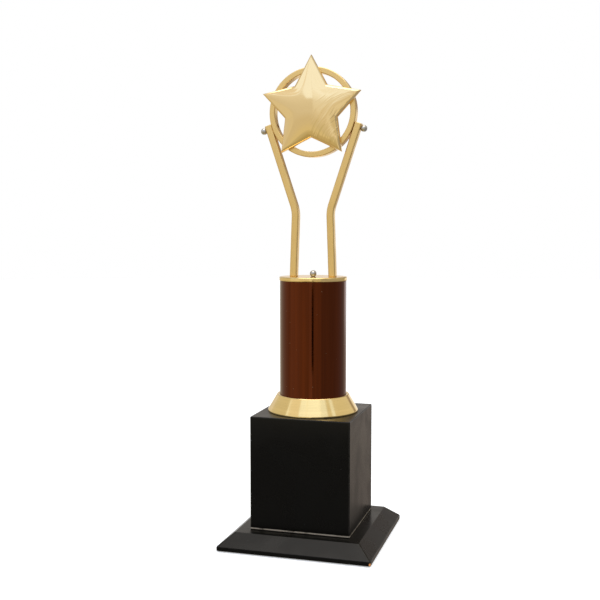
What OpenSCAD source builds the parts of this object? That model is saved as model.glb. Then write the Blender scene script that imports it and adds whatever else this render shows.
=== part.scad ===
// Star trophy: a black plinth and block, a brown column between a gold collar and a gold cap,
// and two gold arms that hold a ring with a domed star on its front.
// Millimetres. Z is up, the star faces -Y, and the origin is the centre of the underside.

/* [Base] */
// Side of the square plinth at its foot
plinth_w = 114; // [95:1:140]
// Height of the plinth, without its felt pad
plinth_t = 11.8; // [10:0.2:18]
// Height of the plinth's upright edge below its bevel
plinth_edge = 3; // [2:0.5:6]
// Width of the bevel, seen from above
plinth_bevel = 10.5; // [4:0.5:14]
// Side of the square block
block_w = 75; // [72:1:92]
// Height of the block
block_h = 84; // [60:1:120]
// Thickness of the felt pad
felt_t = 0.8; // [0.4:0.2:2]

/* [Column] */
// Outside diameter of the column tube
column_d = 50; // [42:1:60]
// Length of the column tube
column_h = 95; // [60:1:160]
// Wall of the column tube
column_wall = 2; // [1.5:0.5:3]
// Foot diameter of the collar
collar_d = 68; // [64:1:70]
// Height of the collar
collar_h = 13; // [10:0.5:20]
// Thickness of the cap disc
cap_t = 3.2; // [2.4:0.2:5]

/* [Arms] */
// Width of the arm bar, seen from the front
arm_w = 5.4; // [4.6:0.1:7]
// Depth of the arm bar, front to back
arm_depth = 6; // [5:0.2:8]
// Distance of each arm's foot from the centre line
foot_x = 15; // [13:0.5:17]
// Distance of each arm's bend from the centre line
bend_x = 13.3; // [11:0.1:16]
// Height of the bend above the cap
bend_h = 49; // [35:1:70]
// Lean of the upper part of each arm from upright
flare = 18.5; // [16:0.5:24]
// Radius of the bend at the bar's centre line
bend_r = 26; // [15:1:40]

/* [Ring and star] */
// Outside diameter of the ring
ring_d = 66; // [58:1:80]
// Width of the ring's band, seen from the front
ring_band = 4.2; // [3.6:0.1:5]
// Depth of the ring, front to back
ring_depth = 7.5; // [6:0.5:10]
// Radius from the star's centre to its tips, as a share of the ring's radius
star_reach = 1.19; // [1.12:0.01:1.3]
// Radius from the star's centre to its notches, as a share of the tip radius
star_notch = 0.532; // [0.5:0.01:0.58]
// Height of the star's straight side
star_side = 4; // [3.5:0.5:6]
// Height of the dome above the straight side
star_dome = 3; // [2.5:0.5:6]
// Height of the star's centre above the ring's centre
star_lift = 2; // [0:0.5:3]

/* [Hidden] */

$fn = 64;
// overshoot of a cutter past the face that it cuts
cut = 1;
// play between a screw's shank and its hole, and between parts that slide together
play = 0.1;
// radius of a pan head's hex socket, as a share of the head's radius
pan_socket = 0.45;

// levels, from the floor up
plinth_z = felt_t;
block_z = plinth_z + plinth_t;
collar_z = block_z + block_h;
collar_ledge = 3;
column_z = collar_z + collar_ledge;
cap_z = column_z + column_h;
foot_z = cap_z + cap_t;
bend_z = foot_z + bend_h;

// base
felt_inset = 5;
plinth_corner_r = 1.5;
block_corner_r = 0.8;
wood_screw_x = 25;
wood_screw_len = 28;
wood_screw_r = 2;
wood_screw_head_r = 4;
wood_screw_head_t = 2.5;
wood_screw_tip_r = 0.3;

// column
rod_r = 3;
rod_hole_r = 3.5;
nut_flats = 10;
nut_t = 3.2;
washer_r = 9;
washer_t = 1.2;
counterbore_r = 10;
counterbore_depth = 6;
nut_z = plinth_z + counterbore_depth - washer_t - nut_t;
rod_tail = 0.8;
tube_bore_r = column_d / 2 - column_wall;
collar_rim = 2;
collar_top_r = column_d / 2 + collar_rim;
collar_ledge_w = 3;
collar_hole_r = tube_bore_r - collar_ledge_w;
collar_lip = 1.2;
plug_t = 14;
plug_bore_depth = 9;
rod_thread_end = 8;
cap_rim = 0.4;
cap_r = column_d / 2 + cap_rim;
cap_edge_r = 0.9;

// arms, and where their flared parts meet the ring
bend_steps = 12;
lower_lean = atan((foot_x - bend_x) / bend_h);
turn = lower_lean + flare;
bend_run = bend_r * tan(turn / 2);
lower_len = norm([foot_x - bend_x, bend_h]) - bend_run;
seat_half = 3;
seat_r = sqrt(pow(ring_d / 2, 2) - pow(seat_half, 2));
ring_z = bend_z + (seat_r + arm_w / 2 - bend_x * cos(flare)) / sin(flare);
arm_past_screw = 2.8;
upper_len = norm([(seat_r + arm_w / 2) * cos(flare) - bend_x,
                  ring_z - (seat_r + arm_w / 2) * sin(flare) - bend_z]) - bend_run + arm_past_screw;
arm_screw_len = 26;
arm_screw_r = 1.25;
arm_screw_head_r = 2.6;
arm_screw_head_t = 2;
arm_screw_hole = 9;

// ball-headed screws
ball_r = 2.5;
ball_centre = 2.1;
ball_shank_r = 1.5;
// distance from the end of a ring screw to the ring's inner wall
ring_screw_short = 2;
cap_screw_len = 8;
cap_screw_bore = 5;

// star
star_z = ring_z + star_lift;
star_tip_r = star_reach * ring_d / 2;
star_notch_r = star_notch * star_tip_r;
// angle from a tip to the next notch
star_step = 36;
star_wall = 1.3;
star_plate_t = 1;
star_plate_gap = 0.1;
star_screw_angles = [90, 234, 306];
ring_mid_r = ring_d / 2 - ring_band / 2;
star_screw_r = 0.9;
star_screw_head_r = 1.8;
star_screw_head_t = 1.3;
star_post_r = 1.7;
star_post_h = 1.6;
star_thread = 2.4;
dome_rings = 22;
dome_steps = 100;
dome_harmonics = 7;
dome_decay = 2.5;

// ---- shared shapes ----

// A rectangle centred on the origin, with round corners of radius r.
module round_rect(w, h, r) {
    square([w - 2 * r, h], center = true);
    square([w, h - 2 * r], center = true);
    for (x = [-1, 1], y = [-1, 1])
        translate([x * (w / 2 - r), y * (h / 2 - r)]) circle(r);
}

// An upright square bar with round corners.
module square_bar(w, h, r) {
    linear_extrude(h) round_rect(w, w, r);
}

// Stands its child up at the height z, so that the child's own +Z points to the front.
module facing_front(z) {
    translate([0, 0, z]) rotate([90, 0, 0]) children();
}

// Turns its child so that its +X runs outward along a ring screw; side is -1 left and 1 right.
module along_ring_screw(side) {
    translate([0, 0, ring_z]) rotate([0, side > 0 ? flare : 180 - flare, 0]) children();
}

// A screw with a ball for a head; it points down and its head sits on z = 0.
module ball_screw(len) {
    translate([0, 0, -len]) cylinder(r = ball_shank_r - play / 2, h = len + ball_centre);
    intersection() {
        translate([0, 0, ball_centre]) sphere(ball_r);
        cylinder(r = 2 * ball_r, h = 2 * ball_r + ball_centre);
    }
}

// A countersunk wood screw that points up; the flat of its head is on z = 0.
module wood_screw() {
    cylinder(r1 = wood_screw_head_r, r2 = wood_screw_r, h = wood_screw_head_t);
    cylinder(r = wood_screw_r, h = wood_screw_len - wood_screw_r);
    translate([0, 0, wood_screw_len - wood_screw_r])
        cylinder(r1 = wood_screw_r, r2 = wood_screw_tip_r, h = wood_screw_r);
}

// A pan-headed machine screw that points up; its head hangs below z = 0.
module pan_screw(shank_r, len, head_r, head_t) {
    difference() {
        translate([0, 0, -head_t]) cylinder(r = head_r, h = head_t);
        translate([0, 0, -head_t - cut])
            cylinder(r = head_r * pan_socket, h = head_t / 2 + cut, $fn = 6);
    }
    cylinder(r = shank_r, h = len);
}

// ---- base ----

module felt_pad() {
    color("#1c1c1e")
    square_bar(plinth_w - 2 * felt_inset, felt_t, plinth_corner_r);
}

// The side view of the plinth: an upright edge, a bevel and a flat top.
module plinth_profile() {
    half = plinth_w / 2;
    polygon([[-half, 0], [half, 0], [half, plinth_edge], [half - plinth_bevel, plinth_t],
             [plinth_bevel - half, plinth_t], [-half, plinth_edge]]);
}

module plinth_slab() {
    rotate([90, 0, 0]) linear_extrude(plinth_w, center = true) plinth_profile();
}

module plinth() {
    color("#141311")
    translate([0, 0, plinth_z])
    difference() {
        intersection() {
            plinth_slab();
            rotate([0, 0, 90]) plinth_slab();
            square_bar(plinth_w, plinth_t, plinth_corner_r);
        }
        translate([0, 0, -cut]) cylinder(r = rod_hole_r, h = plinth_t + 2 * cut);
        translate([0, 0, -cut]) cylinder(r = counterbore_r, h = counterbore_depth + cut);
        for (x = [-1, 1]) translate([x * wood_screw_x, 0, 0]) {
            translate([0, 0, -cut]) cylinder(r = wood_screw_r + play, h = plinth_t + 2 * cut);
            translate([0, 0, -play])
                cylinder(r1 = wood_screw_head_r + play, r2 = wood_screw_r + play,
                         h = wood_screw_head_t + play);
        }
    }
}

module plinth_screws() {
    color("#9a9da0")
    for (x = [-1, 1]) translate([x * wood_screw_x, 0, plinth_z]) wood_screw();
}

module block() {
    color("#141311")
    translate([0, 0, block_z])
    difference() {
        square_bar(block_w, block_h, block_corner_r);
        translate([0, 0, -cut]) cylinder(r = rod_hole_r, h = block_h + 2 * cut);
        for (x = [-1, 1]) translate([x * wood_screw_x, 0, -cut])
            cylinder(r = wood_screw_r + play, h = wood_screw_len - plinth_t + 2 * cut);
    }
}

// ---- clamping rod ----

module tie_rod() {
    color("#9a9da0")
    translate([0, 0, nut_z - rod_tail])
        cylinder(r = rod_r, h = cap_z - plug_t + rod_thread_end - nut_z + rod_tail);
}

module tie_rod_washer() {
    color("#9a9da0")
    translate([0, 0, nut_z + nut_t])
    difference() {
        cylinder(r = washer_r, h = washer_t);
        translate([0, 0, -cut]) cylinder(r = rod_r + play, h = washer_t + 2 * cut);
    }
}

module tie_rod_nut() {
    color("#9a9da0")
    translate([0, 0, nut_z])
    difference() {
        cylinder(r = nut_flats / 2 / cos(30), h = nut_t, $fn = 6);
        translate([0, 0, -cut]) cylinder(r = rod_r + play, h = nut_t + 2 * cut);
    }
}

// ---- column ----

module collar() {
    color("#e2c37f")
    translate([0, 0, collar_z])
    difference() {
        union() {
            cylinder(r = collar_d / 2, h = collar_lip);
            translate([0, 0, collar_lip])
                cylinder(r1 = collar_d / 2, r2 = collar_top_r, h = collar_h - collar_lip);
        }
        translate([0, 0, collar_ledge]) cylinder(r = column_d / 2 + play, h = collar_h);
        translate([0, 0, -cut]) cylinder(r = collar_hole_r, h = collar_h);
    }
}

module column_plug_lower() {
    color("#b8894f")
    difference() {
        union() {
            translate([0, 0, collar_z]) cylinder(r = collar_hole_r - play, h = collar_ledge);
            translate([0, 0, column_z]) cylinder(r = tube_bore_r - play, h = plug_t);
        }
        translate([0, 0, collar_z - cut]) cylinder(r = rod_hole_r, h = collar_ledge + plug_t + 2 * cut);
    }
}

module column_tube() {
    color("#54250f")
    translate([0, 0, column_z])
    difference() {
        cylinder(r = column_d / 2, h = column_h);
        translate([0, 0, -cut]) cylinder(r = tube_bore_r, h = column_h + 2 * cut);
    }
}

module column_plug_upper() {
    color("#b9bcc0")
    difference() {
        translate([0, 0, cap_z - plug_t]) cylinder(r = tube_bore_r - play, h = plug_t);
        translate([0, 0, cap_z - plug_t - cut]) cylinder(r = rod_r + play, h = rod_thread_end + cut);
        translate([0, 0, cap_z - cap_screw_bore]) cylinder(r = ball_shank_r, h = cap_screw_bore + cut);
        for (x = [-1, 1]) translate([x * foot_x, 0, cap_z - plug_t - cut])
            cylinder(r = arm_screw_r + play, h = plug_t + 2 * cut);
    }
}

module column_cap() {
    color("#e2c37f")
    difference() {
        translate([0, 0, cap_z]) rotate_extrude() cap_profile();
        translate([0, 0, cap_z - cut]) cylinder(r = ball_shank_r, h = cap_t + 2 * cut);
        for (x = [-1, 1]) translate([x * foot_x, 0, cap_z - cut])
            cylinder(r = arm_screw_r + play, h = cap_t + 2 * cut);
    }
}

// Half of the cap's section: a disc whose upper and lower rim are rounded.
module cap_profile() {
    square([cap_r - cap_edge_r, cap_t]);
    translate([0, cap_edge_r]) square([cap_r, cap_t - 2 * cap_edge_r]);
    for (y = [cap_edge_r, cap_t - cap_edge_r])
        translate([cap_r - cap_edge_r, y]) circle(cap_edge_r);
}

module cap_ball_screw() {
    color("#c9ccd0")
    translate([0, 0, foot_z]) ball_screw(cap_screw_len);
}

// ---- arms ----

// One point of the right arm's side, at the distance off to the right of its centre line. The
// line leans in by lower_lean, bends through turn and then flares out; t runs from 0 to 1 along
// the bend.
function bend_point(t, off) =
    let (a = turn * t, r = bend_r - off)
    [bend_r - r * cos(a), lower_len + r * sin(a)];

// The right arm's front view, upright at its foot, which is the origin.
module arm_front_view() {
    top = upper_len * [sin(turn), cos(turn)];
    steps = [for (i = [0 : bend_steps]) i / bend_steps];
    inward = [for (t = steps) bend_point(t, -arm_w / 2)];
    outward = [for (i = [bend_steps : -1 : 0]) bend_point(steps[i], arm_w / 2)];
    polygon(concat([[-arm_w / 2, -cut]], inward, [inward[bend_steps] + top],
                   [outward[0] + top], outward, [[arm_w / 2, -cut]]));
}

module arm_bar() {
    translate([foot_x, 0, foot_z]) rotate([90, -lower_lean, 0])
        linear_extrude(arm_depth, center = true) arm_front_view();
}

// The right arm, cut flat at its foot and drilled for the cap's screw and the ring's screw.
module arm() {
    difference() {
        arm_bar();
        translate([0, 0, foot_z - 2 * cut])
            cylinder(r = 2 * foot_x, h = 2 * cut);
        translate([foot_x, 0, foot_z - cut]) cylinder(r = arm_screw_r, h = arm_screw_hole + cut);
        along_ring_screw(1) translate([seat_r - cut, 0, 0])
            rotate([0, 90, 0]) cylinder(r = ball_shank_r, h = arm_w + 2 * cut);
    }
}

module arm_left() {
    color("#dcbd7e") mirror([1, 0, 0]) arm();
}

module arm_right() {
    color("#dcbd7e") arm();
}

module arm_screws() {
    color("#9a9da0")
    for (x = [-1, 1]) translate([x * foot_x, 0, cap_z - plug_t])
        pan_screw(arm_screw_r - play / 2, arm_screw_len, arm_screw_head_r, arm_screw_head_t);
}

// ---- ring ----

module ring() {
    color("#dcbd7e")
    difference() {
        facing_front(ring_z) difference() {
            cylinder(r = ring_d / 2, h = ring_depth, center = true, $fn = 128);
            cylinder(r = ring_d / 2 - ring_band, h = ring_depth + 2 * cut, center = true, $fn = 128);
        }
        for (side = [-1, 1]) along_ring_screw(side) {
            translate([seat_r, -ring_depth, -2 * seat_half]) cube([cut, 2 * ring_depth, 4 * seat_half]);
            translate([ring_mid_r - ring_band, 0, 0]) rotate([0, 90, 0])
                cylinder(r = ball_shank_r, h = 2 * ring_band);
        }
        facing_front(star_z) at_star_screws()
            cylinder(r = star_screw_r + play, h = ring_depth + 2 * cut, center = true);
    }
}

module ring_screw(side) {
    color("#c9ccd0")
    along_ring_screw(side) translate([seat_r + arm_w, 0, 0]) rotate([0, 90, 0])
        ball_screw(seat_r + arm_w - (ring_d / 2 - ring_band) - ring_screw_short);
}

module ring_screw_left() {
    ring_screw(-1);
}

module ring_screw_right() {
    ring_screw(1);
}

// ---- star ----

// Radius of the star's outline in direction a; its edges are straight from tip to notch.
function outline_r(a) =
    let (t = abs((a - 90 + star_step) % (2 * star_step) - star_step))
    star_tip_r * star_notch_r * sin(star_step)
    / (star_notch_r * sin(star_step - t) + star_tip_r * sin(t));

// The outline as a cosine series with one wave for each tip; this is the size of its wave n.
function outline_wave(n, samples = 72) =
    (n == 0 ? 1 : 2) / samples
    * sum([for (i = [0 : samples - 1]) outline_r(90 + i) * cos(5 * n * i)]);

function sum(v, i = 0) = i < len(v) ? v[i] + sum(v, i + 1) : 0;

waves = [for (n = [0 : dome_harmonics]) outline_wave(n)];

// Radius of the dome's contour s in direction a. The waves fade towards the centre, the short
// ones first, so a contour is the star at s = 1 and nearly a circle at the top.
function contour_r(s, a) =
    s == 1 ? outline_r(a)
           : s * sum([for (n = [0 : dome_harmonics])
                         waves[n] * pow(s, dome_decay * n) * cos(5 * n * (a - 90))]);

// One closed row of points of the dome, at contour s and height z, with its radii scaled by k.
function dome_row(s, z, k) =
    [for (j = [0 : dome_steps - 1])
        let (a = 90 + 360 * j / dome_steps, r = k * contour_r(s, a)) [r * cos(a), r * sin(a), z]];

// Height of the dome at contour s.
function dome_z(s) = star_side + star_dome * (1 - s * s);

// The share of the star's radii that is left when its outline moves inward by the distance d.
function inset_share(d) =
    let (edge = norm([star_tip_r - star_notch_r * cos(star_step), star_notch_r * sin(star_step)]),
         reach = star_tip_r * star_notch_r * sin(star_step) / edge)
    (reach - d) / reach;

// A solid skin over rows of points, closed by a point at each end.
module skin(first, rows, last) {
    n = len(rows[0]);
    points = concat([first], [for (row = rows) each row], [last]);
    end = len(points) - 1;
    faces = concat(
        [for (j = [0 : n - 1]) [0, 1 + (j + 1) % n, 1 + j]],
        [for (i = [0 : len(rows) - 2], j = [0 : n - 1])
            let (a = 1 + i * n, b = a + n, k = (j + 1) % n)
                each [[a + j, a + k, b + j], [a + k, b + k, b + j]]],
        [for (j = [0 : n - 1]) [end, end - n + j, end - n + (j + 1) % n]]);
    polyhedron(points, faces);
}

// The star's domed front: a shell with an open back, from the outer dome over its straight side
// and the back edge to the inner dome.
module star_front() {
    inner = inset_share(star_wall);
    shares = [for (i = [1 : dome_rings]) sin(90 * i / dome_rings)];
    outer_rows = [for (s = shares) dome_row(s, dome_z(s), 1)];
    inner_rows = [for (i = [dome_rings : -2 : 1])
        let (s = shares[i - 1]) dome_row(s, dome_z(s) - star_wall, inner)];
    rows = concat(outer_rows, [dome_row(1, 0, 1)], [dome_row(1, 0, inner)], inner_rows);
    color("#edd69c")
    facing_front(star_z) translate([0, 0, ring_depth / 2])
        skin([0, 0, dome_z(0)], rows, [0, 0, dome_z(0) - star_wall]);
}

// Puts its child at each star screw, where the star's arms cross the middle of the ring.
module at_star_screws() {
    for (a = star_screw_angles) {
        reach = sqrt(pow(ring_mid_r, 2) - pow(star_lift * cos(a), 2)) - star_lift * sin(a);
        translate([reach * cos(a), reach * sin(a), 0]) children();
    }
}

// The plate that closes the star's back, with three threaded posts.
module star_back() {
    share = inset_share(star_wall + star_plate_gap);
    outline = [for (i = [0 : 360 / star_step - 1])
        let (a = 90 + star_step * i, r = share * (i % 2 == 0 ? star_tip_r : star_notch_r))
            [r * cos(a), r * sin(a)]];
    color("#dcbd7e")
    facing_front(star_z) translate([0, 0, ring_depth / 2])
    difference() {
        union() {
            linear_extrude(star_plate_t) polygon(outline);
            at_star_screws() cylinder(r = star_post_r, h = star_plate_t + star_post_h);
        }
        at_star_screws() translate([0, 0, -cut]) cylinder(r = star_screw_r, h = star_thread + cut);
    }
}

module star_screws() {
    color("#9a9da0")
    facing_front(star_z) at_star_screws() translate([0, 0, -ring_depth / 2])
        pan_screw(star_screw_r - play / 2, ring_depth + star_thread - play,
                  star_screw_head_r, star_screw_head_t);
}

felt_pad();
plinth();
plinth_screws();
block();
tie_rod();
tie_rod_washer();
tie_rod_nut();
collar();
column_plug_lower();
column_tube();
column_plug_upper();
column_cap();
cap_ball_screw();
arm_left();
arm_right();
arm_screws();
ring();
ring_screw_left();
ring_screw_right();
star_front();
star_back();
star_screws();
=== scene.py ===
"""Star trophy: the visible pieces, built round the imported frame, with their finishes and stage.

Every visible piece is a surface worked out from two parameters, or an outline carried along a
path. Sizes are in metres. The trophy faces -Y, and its underside is centred on the origin.
"""

import math

import bpy
import numpy as np
from bpy.props import FloatProperty, FloatVectorProperty, PointerProperty
from bpy.types import Operator, Panel, PropertyGroup
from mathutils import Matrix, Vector


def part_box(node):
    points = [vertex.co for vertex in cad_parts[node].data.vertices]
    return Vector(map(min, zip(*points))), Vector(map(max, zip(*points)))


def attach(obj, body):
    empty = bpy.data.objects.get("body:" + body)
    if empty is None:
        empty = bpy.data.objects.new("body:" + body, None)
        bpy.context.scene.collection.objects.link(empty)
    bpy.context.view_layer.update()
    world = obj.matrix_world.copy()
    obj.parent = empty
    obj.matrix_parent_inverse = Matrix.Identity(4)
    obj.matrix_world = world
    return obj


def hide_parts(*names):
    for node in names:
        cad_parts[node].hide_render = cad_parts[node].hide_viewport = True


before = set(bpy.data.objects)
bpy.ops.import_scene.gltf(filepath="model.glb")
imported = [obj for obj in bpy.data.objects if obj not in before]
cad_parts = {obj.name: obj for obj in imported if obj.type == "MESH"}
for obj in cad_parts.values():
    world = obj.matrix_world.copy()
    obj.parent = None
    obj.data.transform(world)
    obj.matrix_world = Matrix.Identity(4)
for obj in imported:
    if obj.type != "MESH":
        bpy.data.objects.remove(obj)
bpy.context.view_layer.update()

bl_info = {
    "name": "Star Trophy",
    "version": (1, 0, 0),
    "blender": (4, 5, 0),
    "location": "3D View > Sidebar > Star Trophy",
    "description": "Builds a star trophy round its measured frame",
    "category": "Add Mesh",
}

MM = 0.001
SMOOTH_LIMIT = math.radians(38)
TIP_TURN = math.radians(36)
TAU = 2 * math.pi
DEPTHWISE = np.array([0.0, 1.0, 0.0])
HOLD = 0.4 * MM  # how far from an arc's end a flat side has a point that keeps it level


def node_box(node):
    """The lowest and the highest corner of a CAD node, as arrays."""
    low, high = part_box(node)
    return np.array(low), np.array(high)


# ---------------------------------------------------------------- settings


def length(name, description, millimetres):
    """A size that the user can change."""
    return FloatProperty(name=name, description=description, default=millimetres * MM, min=0.0,
                         unit="LENGTH", precision=4)


def angle(name, description, degrees):
    """An angle that the user can change."""
    return FloatProperty(name=name, description=description, default=math.radians(degrees),
                         subtype="ANGLE", unit="ROTATION")


def factor(name, description, default, high=1.0):
    """A plain share or strength that the user can change."""
    return FloatProperty(name=name, description=description, default=default, min=0.0, max=high)


def colour(name, description, default):
    """A colour that the user can change."""
    return FloatVectorProperty(name=name, description=description, default=default, size=3,
                               subtype="COLOR", min=0.0, max=1.0)


class BaseSettings(PropertyGroup):
    """Sizes and colours of the plinth, the block and the felt."""

    plinth_edge: length("Upright edge", "Height of the plinth's upright edge", 3.0)
    plinth_bevel: length("Bevel", "Width of the plinth's bevel, seen from above", 10.5)
    plinth_round: length("Plinth rounding", "Radius along the plinth's edges", 0.9)
    block_round: length("Block rounding", "Radius along the block's edges", 0.7)
    felt_round: length("Felt rounding", "Radius along the felt's edge", 0.3)
    lacquer: colour("Lacquer", "Colour of the black lacquer", (0.0024, 0.0021, 0.0014))
    lacquer_worn: colour("Worn lacquer", "Colour where the lacquer has rubbed thin", (0.07, 0.06, 0.048))
    felt: colour("Felt", "Colour of the felt pad", (0.010, 0.010, 0.012))


class ColumnSettings(PropertyGroup):
    """Sizes and colours of the collar, the tube and the cap."""

    collar_lip: length("Collar lip", "Height of the upright lip at the collar's foot", 1.2)
    collar_top: length("Collar top", "Radius of the collar at its top", 27.0)
    collar_ledge: length("Collar ledge", "Height of the ledge that the tube stands on", 3.0)
    seat_gap: length("Seat clearance", "Clearance between the collar and the tube", 0.1)
    ledge_width: length("Ledge width", "Width of the ledge inside the tube's bore", 3.0)
    tube_wall: length("Tube wall", "Wall of the column tube", 2.0)
    rim_round: length("Rim rounding", "Radius along the collar's and the cap's rims", 0.9)
    tube_lacquer: colour("Tube lacquer", "Colour of the tinted lacquer", (0.104, 0.0188, 0.0019))


class ArmSettings(PropertyGroup):
    """Sizes of the two arms."""

    width: length("Width", "Width of the bar, seen from the front", 5.4)
    edge_round: length("Edge rounding", "Radius along the bar's long edges", 1.0)
    end_round: length("End rounding", "Radius round the bar's ends", 0.45)
    foot_x: length("Foot distance", "Distance of a foot from the centre line", 15.0)
    bend_x: length("Bend distance", "Distance of a bend from the centre line", 13.3)
    bend_height: length("Bend height", "Height of the bend above the cap", 49.0)
    bend_radius: length("Bend radius", "Radius of the bend at the bar's centre line", 26.0)
    flare: angle("Flare", "Lean of the upper part from upright", 18.5)
    past_screw: length("End past screw", "Length of bar beyond the ring's screw", 2.8)


class RingSettings(PropertyGroup):
    """Sizes of the ring and the screws that hold it."""

    band: length("Band", "Width of the ring's band, seen from the front", 4.2)
    edge_round: length("Edge rounding", "Radius along the band's edges", 0.6)
    seat_half: length("Seat", "Half the width of the flat that an arm bears on", 3.0)
    ball_radius: length("Ball radius", "Radius of a screw's ball head", 2.5)
    ball_centre: length("Ball height", "Height of a ball's centre above its seat", 2.1)
    shank_radius: length("Shank radius", "Radius of a ball-headed screw's shank", 1.45)
    hole_radius: length("Hole radius", "Radius of the holes for the ball-headed screws", 1.5)
    screw_short: length("Screw short", "Distance by which a screw stops short of the ring's inside", 2.0)


class StarSettings(PropertyGroup):
    """Sizes of the star."""

    notch: factor("Notch share", "Notch radius as a share of the tip radius", 0.532)
    side: length("Side", "Height of the star's straight side", 4.0)
    fade: factor("Fade", "How fast the star's shape turns round towards the top", 2.5, 4.0)
    wall: length("Wall", "Wall of the star's shell", 1.3)
    roll: length("Rolled edge", "Width of the rolled edge between the dome and the side", 2.2)


class FinishSettings(PropertyGroup):
    """Colours of the metals and of the turned plugs."""

    mirror_gold: colour("Mirror gold", "Colour of the star", (0.86, 0.63, 0.31))
    polished_gold: colour("Polished gold", "Colour of the collar and the cap", (0.90, 0.645, 0.265))
    satin_gold: colour("Satin gold", "Colour of the arms and the ring", (0.82, 0.565, 0.225))
    silver: colour("Silver", "Colour of the ball-headed screws", (0.60, 0.56, 0.50))
    zinc: colour("Zinc", "Colour of the hidden fasteners", (0.50, 0.51, 0.53))
    alloy: colour("Plug alloy", "Colour of the turned metal plug", (0.56, 0.57, 0.59))
    wood: colour("Plug wood", "Colour of the turned wooden plug", (0.42, 0.26, 0.13))


class StageSettings(PropertyGroup):
    """Camera, floor and lights."""

    floor: colour("Floor", "Colour of the floor", (0.86, 0.86, 0.86))
    camera: FloatVectorProperty(name="Camera", description="Place of the camera", size=3,
                                subtype="TRANSLATION", unit="LENGTH",
                                default=(0.1865, -0.6704, 0.2309))
    camera_turn: angle("Camera turn", "Turn of the camera to the left", 16.36)
    camera_tilt: angle("Camera tilt", "Tilt of the camera below level", 4.18)
    lens: FloatProperty(name="Lens", description="Focal length in millimetres", default=55.75, min=1.0)


def settings(group):
    """The user's settings of one group, such as arms."""
    return getattr(bpy.context.scene, "trophy_" + group)


SETTINGS = {
    "trophy_base": BaseSettings,
    "trophy_column": ColumnSettings,
    "trophy_arms": ArmSettings,
    "trophy_ring": RingSettings,
    "trophy_star": StarSettings,
    "trophy_finish": FinishSettings,
    "trophy_stage": StageSettings,
}


# ---------------------------------------------------------------- outlines and grids


def unit(v):
    """Rows of v scaled to length one."""
    return v / (np.linalg.norm(v, axis=-1, keepdims=True) + 1e-12)


def round_corners(points, radii, steps=8):
    """A closed outline whose corners are arcs.

    Each corner's arc is tangent to both of its sides. With half the corner's inner angle h, its
    centre lies r / sin(h) along the bisector and its ends lie r / tan(h) along the sides; the arc
    turns evenly from one end to the other.
    """
    corner = np.asarray(points, float)
    radius = np.broadcast_to(np.asarray(radii, float), len(corner))[:, None]
    back = unit(np.roll(corner, 1, 0) - corner)
    ahead = unit(np.roll(corner, -1, 0) - corner)
    half = np.arccos(np.clip((back * ahead).sum(1), -1, 1))[:, None] / 2
    centre = corner + unit(back + ahead) * radius / np.sin(half)
    start = corner + back * radius / np.tan(half) - centre
    end = corner + ahead * radius / np.tan(half) - centre
    sweep = (np.pi - 2 * half)[:, :, None]
    t = np.linspace(0, 1, steps + 1)[None, :, None]
    arc = (np.sin((1 - t) * sweep) * start[:, None] + np.sin(t * sweep) * end[:, None]) / np.sin(sweep)
    return (centre[:, None] + arc).reshape(-1, 2)


def hold_flats(points, gap):
    """The closed outline with a point put in just inside each end of every long straight side.

    The side's shading then stays level, and only the narrow strips of length gap next to the
    arcs turn.
    """
    side = np.roll(points, -1, 0) - points
    run = np.linalg.norm(side, axis=1)
    along = side / run[:, None] * gap
    rows = np.stack([points, points + along, points + side - along], 1)
    keep = np.stack([run > 0, run > 4 * gap, run > 4 * gap], 1)
    return rows[keep]


def edge_turn(rows, loop):
    """How tightly a grid's surface turns at each of its points, as a share of a 1 mm radius.

    Along either family of lines, the turn is the change of the unit step divided by the step's
    length; its part along the surface normal is kept, and the larger of the two is the answer.
    It is positive on an outer edge, if the normal points outward, and negative in a groove.
    """
    ahead = [np.roll(rows, -1, k) - rows for k in (0, 1)]
    back = [np.roll(step, 1, k) for k, step in enumerate(ahead)]
    if not loop:
        ahead[0][-1], back[0][0] = back[0][-1], ahead[0][0]
    run = [(np.linalg.norm(f, axis=2) + np.linalg.norm(b, axis=2)) / 2 for f, b in zip(ahead, back)]
    normal = np.cross(ahead[0] + back[0], ahead[1] + back[1])
    normal /= np.linalg.norm(normal, axis=2, keepdims=True) + 1e-12
    turns = [((unit(b) - unit(f)) * normal).sum(2) / (r + 1e-9) * MM for f, b, r in zip(ahead, back, run)]
    return np.where(np.abs(turns[0]) > np.abs(turns[1]), *turns)


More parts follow.
